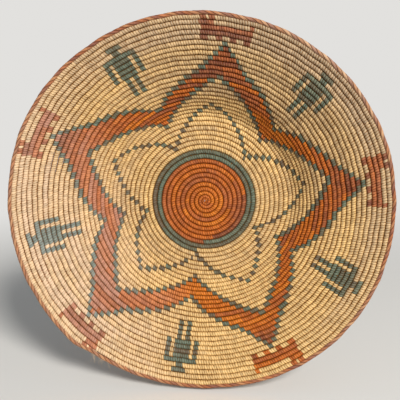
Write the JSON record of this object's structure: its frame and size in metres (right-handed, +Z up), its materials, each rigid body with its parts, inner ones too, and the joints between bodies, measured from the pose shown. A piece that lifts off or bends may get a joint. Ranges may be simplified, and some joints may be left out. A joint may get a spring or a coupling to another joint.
{
  "type": "coiled basket tray",
  "caption": "Shallow round coiled tray with a flat base, a steep shoulder, a flared wall and a braided rim, hung with its base against a wall.",
  "frame": {"origin": "middle of the flat base where its back touches the wall", "axes": "+Y out of the back into the wall, along the tray's axis; the open side faces -Y; +Z up and +X to the right as seen from the front"},
  "size_m": [0.4333, 0.0808, 0.4307],
  "materials": {
    "natural_splint": "bare straw-coloured plant splint, matt with a slight sheen",
    "rust_splint": "plant splint dyed rust red, matt and faded",
    "green_splint": "plant splint dyed grey green, matt and faded",
    "braid_splint": "laced rim strands dyed rust, ochre and mauve, matt"
  },
  "bodies": {
    "root": {"start_knot": "rust_splint", "medallion_coil": "rust_splint", "green_ring_coil": "green_splint", "base_coil": "natural_splint", "shoulder_coil": "natural_splint", "star_coil": "natural_splint", "figure_coil": "natural_splint", "field_coil": "natural_splint", "rim_coil": "natural_splint", "rim_braid": "braid_splint"}
  },
  "joints": []
}
